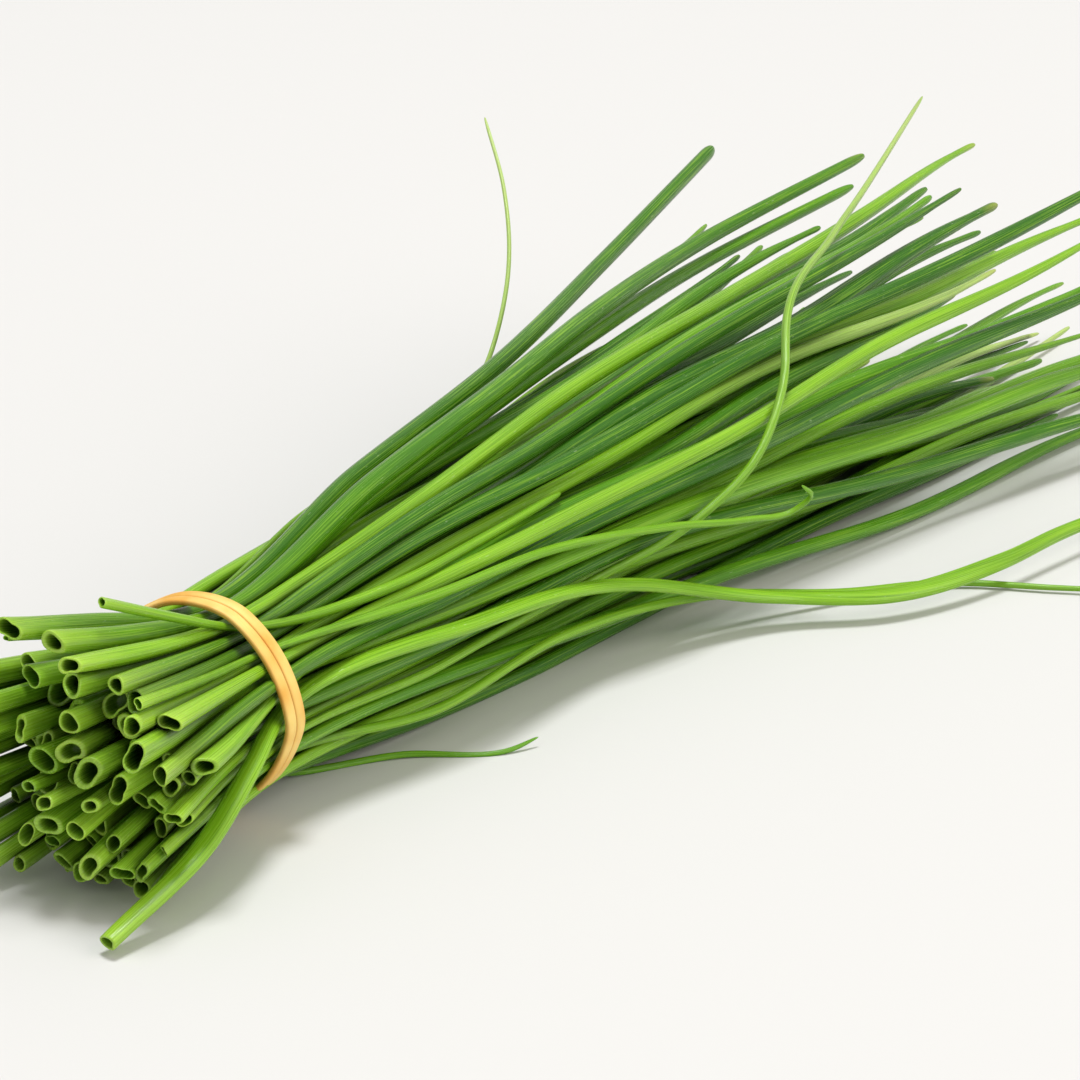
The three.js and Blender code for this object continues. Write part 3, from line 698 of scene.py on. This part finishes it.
def connect(tree, value, socket):
    if isinstance(value, Wire):
        tree.links.new(value.socket, socket)
    else:
        socket.default_value = value


class Shader:  # a material with one Principled shader
    def __init__(self, name):
        self.material = bpy.data.materials.new(name)
        self.material.use_nodes = True
        self.tree = self.material.node_tree
        self.surface = self.tree.nodes["Principled BSDF"]

    def node(self, kind, settings, values, output=0):  # values by each socket's name or number
        made = self.tree.nodes.new("ShaderNode" + kind)
        for key, value in settings.items():
            setattr(made, key, value)
        for key, value in values.items():
            connect(self.tree, value, made.inputs[key])
        if output is None:
            return [Wire(self.tree, socket) for socket in made.outputs]
        return Wire(self.tree, made.outputs[output])

    def mix(self, factor, low, high, blend="MIX"):  # the sockets' numbers are those of a mix of colours
        settings = {"data_type": "RGBA", "blend_type": blend}
        return self.node("Mix", settings, {0: factor, 6: low, 7: high}, 2)

    def split(self, value):
        return self.node("SeparateXYZ", {}, {0: value}, None)

    def join(self, x, y, z):
        return self.node("CombineXYZ", {}, {0: x, 1: y, 2: z})

    def attribute(self, name, output):
        return self.node("Attribute", {"attribute_name": name}, {}, output)

    def noise(self, where, scale, detail, roughness):
        return self.node("TexNoise", {}, {"Vector": where, "Scale": scale, "Detail": detail,
                                          "Roughness": roughness})

    def skinNoise(self, around, k, shift=0.0):  # noise round a tube and along it, elsewhere for each shift
        cosine, sine, along = around
        where = self.join(cosine * k["around"][0] + shift, sine * k["around"][1], along * k["along"])
        return self.noise(where, 1.0, k["detail"], k["roughness"])

    def finish(self, constants, values):
        for key, value in {**constants, **values}.items():
            connect(self.tree, value, self.surface.inputs[key])
        return self.material


def linear(red, green, blue):  # a colour of the sRGB scale, 0 to 255, as the shader takes it
    parts = [v / 255 for v in (red, green, blue)]
    return tuple(v / 12.92 if v < 0.04045 else ((v + 0.055) / 1.055) ** 2.4 for v in parts) + (1.0,)


# The chives' colours, from the darkest leaves to the palest, with painted shade for the crevices and the
# hollow, and the shares and ranges that blend them.
# A range of two numbers is where a blend starts and where it is full. Lengths along are per metre.
leafLook = {
    "deep": linear(52, 108, 12),
    "green": linear(98, 160, 18),
    "light": linear(160, 206, 46),
    "pale": linear(204, 220, 140),
    "vein": linear(34, 82, 8),
    "rim": linear(186, 220, 84),
    # painted shade deep inside the hollow
    "hollow": linear(40, 84, 6),
    "fleck": linear(226, 238, 196),
    "dry": linear(196, 196, 96),
    # painted shade, multiplied in between the chives
    "shade": linear(22, 44, 8),
    "streak": {"around": (8.0, 8.0), "along": 45.0, "detail": 3.0, "roughness": 0.6},
    "mottle": {"around": (1.1, 1.1), "along": 26.0, "detail": 2.0, "roughness": 0.5},
    "flecks": {"around": (9.0, 9.0), "along": 800.0, "detail": 1.0, "roughness": 0.4},
    "seedShift": 40,
    "outside": (0.3, 0.5),
    "fleckNoise": (0.69, 0.77),
    "fleckPatch": (0.5, 0.66),
    "fleckShare": 0.45,
    "greenTone": (0.0, 0.55),
    "lightTone": (0.45, 1.0),
    "lightShare": 0.66,
    "paleTone": 0.9,
    "paleLess": 0.26,
    "paleLength": (0.55, 0.95),
    "paleShare": 0.7,
    "youngLength": (0.0, 0.25),
    "youngShare": 0.32,
    "streakLight": (0.52, 0.68),
    "streakShare": 0.55,
    "veinNoise": (0.3, 0.5),
    "veinShare": 0.5,
    "mottleNoise": (0.2, 0.5),
    "mottleShare": 0.4,
    "dryLength": (0.975, 1.0),
    "dryNoise": (1.15, 1.5),
    "dryShare": 0.6,
    "freshLength": (0.0, 0.014),  # metres
    "freshShare": (0.12, 0.3),  # the least, and how much a chive's seed adds
    "creviceShadeRange": (0.0, 0.8),
    "rimFrom": (0.02, 0.45),
    "rimUpTo": (0.5, 0.7),
    "rimShare": (0.05, 0.45),
    # where the painted shade of the hollow starts and where it is full
    "hollowFrom": (0.5, 0.9),
    "bump": {"Strength": 0.55, "Distance": 0.0002},
    "bumpHeights": (0.8, 0.6),
    "rough": (0.17, 0.2, 0.3),  # smooth skin, and what streaks and flecks add
    "surface": {
        "Subsurface Weight": 0.15,
        "Subsurface Radius": (0.5, 1.0, 0.1),
        "Subsurface Scale": 0.001,
        "Specular IOR Level": 0.36,
        "Coat Weight": 0.12,
        "Coat Roughness": 0.12,
    },
}


def leafMaterial():  # all the chives: tone, share of length and depth of hollow come from the marks
    k = leafLook
    m = Shader("chiveSkin")
    tone, share, deep = m.split(m.attribute("marks", 0))
    seed = m.attribute("marks", 3)
    paintedShade = m.attribute("creviceShade", 2)
    around = m.split(m.attribute("skin", 1))
    along = around[2]
    shift = seed * k["seedShift"]
    streak = m.skinNoise(around, k["streak"], shift)
    mottle = m.skinNoise(around, k["mottle"], shift)
    fleckNoise = m.skinNoise(around, k["flecks"], shift)
    outside = 1 - deep.rampFrom(*k["outside"])
    fleck = fleckNoise.rampFrom(*k["fleckNoise"]) * mottle.rampFrom(*k["fleckPatch"]) * outside
    pale = tone.above(k["paleTone"])
    dry = share.rampFrom(*k["dryLength"]) * (mottle + seed).rampFrom(*k["dryNoise"])
    fresh = (1 - along.rampFrom(*k["freshLength"])) * (k["freshShare"][0] + seed * k["freshShare"][1])
    rim = deep.rampFrom(*k["rimFrom"]) * (1 - deep.rampFrom(*k["rimUpTo"]))
    # The leaf's own green, from the chive's tone
    colour = m.mix(tone.rampFrom(*k["greenTone"]), k["deep"], k["green"])
    lightShare = k["lightShare"] - pale * k["paleLess"]
    colour = m.mix(tone.rampFrom(*k["lightTone"]) * lightShare, colour, k["light"])
    colour = m.mix((1 - share.rampFrom(*k["youngLength"])) * k["youngShare"], colour, k["light"])
    colour = m.mix(pale * share.rampFrom(*k["paleLength"]) * k["paleShare"], colour, k["pale"])
    # Its veins, patches, dry tip and flecks
    colour = m.mix(streak.rampFrom(*k["streakLight"]) * k["streakShare"], colour, k["light"])
    colour = m.mix((1 - streak.rampFrom(*k["veinNoise"])) * k["veinShare"], colour, k["vein"])
    colour = m.mix((1 - mottle.rampFrom(*k["mottleNoise"])) * k["mottleShare"], colour, k["deep"])
    colour = m.mix(dry * k["dryShare"], colour, k["dry"])
    colour = m.mix(fleck * k["fleckShare"], colour, k["fleck"])
    # The cut end, painted shade between the chives, and painted shade deep in the hollow
    colour = m.mix(fresh, colour, k["rim"])
    colour = m.mix(paintedShade.rampFrom(*k["creviceShadeRange"]), colour, k["shade"], blend="MULTIPLY")
    colour = m.mix(rim * (k["rimShare"][0] + seed * k["rimShare"][1]), colour, k["rim"])
    # painted shade deep inside the hollow
    colour = m.mix(deep.rampFrom(*k["hollowFrom"]), colour, k["hollow"])
    height = streak * k["bumpHeights"][0] + mottle * k["bumpHeights"][1]
    bump = m.node("Bump", {}, {**k["bump"], "Height": height})
    rough = k["rough"][0] + streak * k["rough"][1] + fleck * k["rough"][2]
    return m.finish(k["surface"], {"Base Color": colour, "Roughness": rough, "Normal": bump})


chiveSkin = leafMaterial()
print("leaf material done")


skinSeed = 23
rng = np.random.default_rng(skinSeed)
toneSpread = 0.08  # how far a packed chive's colour can be from its slot's tone
slots = {"chive_deep": 0.4, "chive_mid": 0.78, "chive_light": 1.01}  # each with the tone that it stays under
paleSlot = "chive_pale"


def slotFor(tone):
    return next(name for name, limit in slots.items() if tone < limit)


def packedTube(i):  # a packed chive's fine line, from its cut end to its tip
    c = {key: value[i] for key, value in chives.items()}
    xs = np.linspace(c["cut"], c["tip"], int((c["tip"] - c["cut"]) / skin["lineStep"]) + 2)
    line = np.stack([xs, np.interp(xs, fineX, fineYz[:, i, 0]), np.interp(xs, fineX, fineYz[:, i, 1])], 1)
    radius = radiusAt(c, xs)
    tone = float(np.clip(c["tone"] + rng.uniform(-toneSpread, toneSpread), 0, 1))
    look = {"tone": tone, "seed": rng.uniform()}
    return i, chiveRings(line, radius, 1.0, np.zeros(len(xs)), rng, look, skin["ringStep"])


for n, (a, b) in enumerate(pairs):
    name = f"chive_pair_{n + 1:02d}"
    chivePiece(name, [packedTube(a), packedTube(b)], slotFor(chives["tone"][a]), chiveSkin)
print("packed chives done")

# Where a flat leaf turns over, from one place along X to another in mm, and by how much in radians
twists = {"flat_chive": (112, 150, 1.25)}


def strayTube(name, stray):  # its radius is narrowed under the band and tapered to the tip, as the solid's is
    b = bunch
    share = np.linspace(0, 1, skin["lineCount"])
    line = strayLine(stray["line"], share)
    reached = np.clip((1 - share) / (1 - b["strayTaperStart"]), 0, 1) ** b["strayTaperPower"]
    taper = stray["blunt"] + (1 - stray["blunt"]) * reached
    narrowed = 1 - b["squeeze"] * np.exp(-((line[:, 0] / b["squeezeReach"]) ** 2))
    start, end, amount = twists.get(name, (0, 1, 0))
    turn = amount * np.clip((line[:, 0] - start) / (end - start), 0, 1)
    look = {"tone": stray["tone"], "seed": rng.uniform()}
    radius = stray["radius"] * taper * narrowed
    return None, chiveRings(line, radius, stray["flat"], turn, rng, look, skin["strayStep"])


for name, stray in strays.items():
    slotName = paleSlot if stray["tone"] > leafLook["paleTone"] else slotFor(stray["tone"])
    chivePiece(name, [strayTube(name, stray)], slotName, chiveSkin)
print("stray chives done")

# The rubber band: a flat strand, in millimetres, that goes twice round the bunch and crosses over itself once
band = {
    "width": 2.0,
    "thickness": 1.1,
    "shownWidth": 2.3,  # the strands of the real band all but touch
    "squareness": 0.72,
    "offset": 1.2,
    "gap": 0.25,
    "outlineTurns": 180,  # directions in which the outline under the band is measured
    "outlineFacing": 0.2,  # directions that face away further than this don't count
    "smoothing": (24, 4, 8),  # turns of smoothing, the rounds of each, and the rounds at the end
    "sinking": 0.1,  # how far a smoothed turn may sink under the outline
    "crossingAngle": -0.3,
    "crossingLift": 1.5,
    "crossingSpan": 0.05,
    "crossingLength": 0.11,
    "rings": 420,
    "sides": 20,
    "patternRadius": 17,
    "colour": linear(230, 172, 74),
    "light": linear(246, 212, 124),
    # for the stretch lines, and for the painted shade along the strand's edges
    "dark": linear(190, 114, 30),
    "stretch": {"around": (5, 3), "along": 40, "detail": 3.0, "roughness": 0.6},
    "grain": (2600.0, 3.0, 0.6),  # each pattern's scale per metre, detail and roughness
    "cloud": (160.0, 2.0, 0.5),
    "cloudRange": (0.35, 0.7),
    "edgeShadeRange": (0.55, 1.0),
    "edgeShadeShare": 0.45,
    "stretchRange": (0.55, 0.8),
    "stretchShare": 0.3,
    "grainRange": (0.5, 0.8),
    "grainShare": 0.2,
    "bump": {"Strength": 0.3, "Distance": 0.00015},
    "grainBump": 0.6,
    "rough": (0.42, 0.2),  # smooth rubber, and what the grain adds
    "surface": {
        "Subsurface Weight": 0.1,
        "Subsurface Radius": (1.0, 0.55, 0.2),
        "Subsurface Scale": 0.001,
        "Specular IOR Level": 0.4,
    },
}


def outlineTowards(angle):
    # The convex outline drawn tight round the chives under the band, in the directions angle: its reach along
    # each normal is the furthest of the chives', and its distance is that of the nearest line which these
    # reaches draw
    k = band
    stations = np.array(bunch["stations"], float)
    normal = 2 * math.pi * np.arange(k["outlineTurns"]) / k["outlineTurns"]
    edge = k["offset"] + k["width"] / 2
    at = np.array([-edge, 0.0, edge])
    y = np.stack([np.interp(at, stations, row[:, 0]) for row in coarse], 1)
    z = np.stack([np.interp(at, stations, row[:, 1]) for row in coarse], 1)
    strayY, strayZ, strayNeed = straysAt(at, straySamples, 0.0)
    y, z = np.hstack([y, strayY]), np.hstack([z, strayZ]) - bunch["axisHeight"]
    size = np.hstack([radiusAt(chives, at[:, None]), strayNeed])
    reach = (y[..., None] * np.cos(normal) + z[..., None] * np.sin(normal) + size[..., None]).max((0, 1))
    facing = np.cos(normal[None] - angle[:, None])
    least = k["outlineFacing"]
    return np.where(facing > least, reach / np.maximum(facing, least), np.inf).min(1)


def smoothed(values, rounds):  # each value drawn towards its two neighbours, round a closed ring
    for turn in range(rounds):
        values = (np.roll(values, 1) + values * 2 + np.roll(values, -1)) / 4
    return values


def roundPower(values, power):
    return np.sign(values) * np.abs(values) ** power


def bandPiece():
    # middle(t) + a rounded flat section (cos a, sin a to a power) across and outward, for t twice round
    k = band
    t = 4 * math.pi * np.arange(k["rings"]) / k["rings"]
    angle = k["crossingAngle"] + t
    swing = np.sin(t / 2)
    span = math.sqrt(k["crossingSpan"])
    x = k["offset"] * swing / np.hypot(swing, span) * math.hypot(1, span)
    over = np.exp(-(((1 - np.cos(t / 2)) / k["crossingLength"]) ** 2))
    tight = outlineTowards(angle)
    reach = tight
    turns, rounds, lastRounds = k["smoothing"]
    for turn in range(turns):  # rounds off the corners, but stays outside the chives
        reach = np.maximum(smoothed(reach, rounds), tight - k["sinking"])
    reach = smoothed(reach, lastRounds)
    reach = reach + k["gap"] + k["thickness"] / 2 + k["crossingLift"] * over
    outward = np.stack([0 * angle, np.cos(angle), np.sin(angle)], 1)
    middle = np.stack([x, 0 * x, np.full(len(x), bunch["axisHeight"])], 1) + outward * reach[:, None]
    ahead = np.roll(middle, -1, 0) - np.roll(middle, 1, 0)
    ahead /= np.linalg.norm(ahead, axis=1)[:, None]
    across = np.cross(outward, ahead)
    across /= np.linalg.norm(across, axis=1)[:, None]
    across *= np.sign(across[:, :1])
    up = np.cross(ahead, across)
    up *= np.sign((up * outward).sum(1))[:, None]
    a = 2 * math.pi * np.arange(k["sides"]) / k["sides"]
    u = roundPower(np.cos(a), k["squareness"]) * k["shownWidth"] / 2
    v = roundPower(np.sin(a), k["squareness"]) * k["thickness"] / 2
    points = middle[:, None] + u[None, :, None] * across[:, None] + v[None, :, None] * up[:, None]
    faces = ringFaces(k["rings"], k["sides"], closed=True)
    around = np.stack([np.tile(np.cos(a), k["rings"]), np.tile(np.sin(a), k["rings"]),
                       np.repeat(t * k["patternRadius"], k["sides"]) * metre], 1)
    piece = meshFrom("rubber_band_strand", points.reshape(-1, 3), faces, np.zeros((0, 3), int),
                     {"skin": around})
    piece.data.materials.append(rubberMaterial())
    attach(piece, "root")
    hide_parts("rubber_band")


def rubberMaterial():  # pale tan rubber: fine grain, faint stretch lines, and painted shade along the strand's edges
    k = band
    m = Shader("tanRubber")
    around = m.split(m.attribute("skin", 1))
    cosine = around[0]
    where = m.node("TexCoord", {}, {}, 3)
    stretch = m.skinNoise(around, k["stretch"])
    grain = m.noise(where, *k["grain"])
    cloud = m.noise(where, *k["cloud"])
    # painted shade along the strand's edges
    edge = (cosine * cosine).rampFrom(*k["edgeShadeRange"])
    colour = m.mix(cloud.rampFrom(*k["cloudRange"]), k["colour"], k["light"])
    colour = m.mix(edge * k["edgeShadeShare"], colour, k["dark"])
    colour = m.mix(stretch.rampFrom(*k["stretchRange"]) * k["stretchShare"], colour, k["dark"])
    colour = m.mix(grain.rampFrom(*k["grainRange"]) * k["grainShare"], colour, k["light"])
    bump = m.node("Bump", {}, {**k["bump"], "Height": grain * k["grainBump"] + stretch})
    rough = k["rough"][0] + grain * k["rough"][1]
    return m.finish(k["surface"], {"Base Color": colour, "Roughness": rough, "Normal": bump})


bandPiece()
print("rubber band done")

# The camera stands where the photograph's did: its turn and tilt in degrees, its distance from the band in
# millimetres, its focal length in pixels, and the pixel of the photograph that the band's middle falls on
viewpoint = {
    "turn": 60.0,
    "tilt": 20.5,
    "distance": 675.0,
    "focal": 4500.0,
    "bandX": 207.0,
    "bandY": 697.0,
    "imageSize": 1080.0,
    "sensor": 36.0,  # mm
    "clip": (0.01, 20),  # metres
}


def addCamera():
    k = viewpoint
    turn, tilt = math.radians(k["turn"]), math.radians(k["tilt"])
    right = np.array([math.cos(turn), -math.sin(turn), 0])
    level = np.array([math.sin(turn), math.cos(turn), 0])
    forward = math.cos(tilt) * level - math.sin(tilt) * np.array([0, 0, 1])
    up = math.sin(tilt) * level + math.cos(tilt) * np.array([0, 0, 1])
    half = k["imageSize"] / 2
    ray = forward + right * (k["bandX"] - half) / k["focal"] + up * (half - k["bandY"]) / k["focal"]
    spot = np.array([0, 0, bunch["axisHeight"]]) - k["distance"] * ray
    data = bpy.data.cameras.new("photoView")
    data.sensor_width = k["sensor"]
    data.lens = k["focal"] * k["sensor"] / k["imageSize"]
    data.clip_start, data.clip_end = k["clip"]
    camera = bpy.data.objects.new("photoView", data)
    bpy.context.scene.collection.objects.link(camera)
    axes = Matrix([right, up, -forward]).transposed().to_4x4()
    camera.matrix_world = Matrix.Translation(Vector((spot + place) * metre)) @ axes
    bpy.context.scene.camera = camera
    return right, level


floorLook = {
    "reach": 4.0,  # metres to each side
    "surface": {"Base Color": (0.68, 0.675, 0.67, 1.0), "Roughness": 0.7, "Specular IOR Level": 0.2},
}


def addFloor():
    reach = floorLook["reach"]
    corners = [(-reach, -reach, 0), (reach, -reach, 0), (reach, reach, 0), (-reach, reach, 0)]
    mesh = bpy.data.meshes.new("floor")
    mesh.from_pydata(corners, [], [(0, 1, 2, 3)])
    mesh.materials.append(Shader("paleFloor").finish(floorLook["surface"], {}))
    floor = bpy.data.objects.new("floor", mesh)
    bpy.context.scene.collection.objects.link(floor)


def addLight(name, spot, aim, size, power, colour):
    data = bpy.data.lights.new(name, "AREA")
    data.shape = "DISK"
    data.size = size
    data.energy = power
    data.color = colour
    light = bpy.data.objects.new(name, data)
    bpy.context.scene.collection.objects.link(light)
    light.location = spot
    light.rotation_mode = "QUATERNION"
    light.rotation_quaternion = (Vector(aim) - Vector(spot)).to_track_quat("-Z", "Y")


# The lights: a soft one overhead, a weak broad one from the right, and a pale room.
# Each has its place along the picture's right, away from the camera and up, in metres.
lights = {
    "softKey": {"spot": (-0.05, 0.25, 3.4), "size": 1.0, "power": 84.0, "colour": (0.985, 0.992, 1.0)},
    "broadFill": {"spot": (2.6, -1.4, 1.9), "size": 3.0, "power": 60.0, "colour": (1.0, 0.95, 0.84)},
}
lightAim = np.array([0.0, 0.0, 0.02])
surroundings = {"Color": (1.0, 0.985, 0.95, 1.0), "Strength": 0.5}


def addLights(right, level):
    for name, k in lights.items():
        spot = lightAim + right * k["spot"][0] + level * k["spot"][1] + np.array([0, 0, k["spot"][2]])
        addLight(name, spot, lightAim, k["size"], k["power"], k["colour"])
    world = bpy.data.worlds.new("paleRoom")
    bpy.context.scene.world = world
    world.use_nodes = True
    for key, value in surroundings.items():
        world.node_tree.nodes["Background"].inputs[key].default_value = value


right, level = addCamera()
addFloor()
addLights(right, level)
bpy.context.scene.view_settings.view_transform = "Standard"
print("camera, floor and lights done")
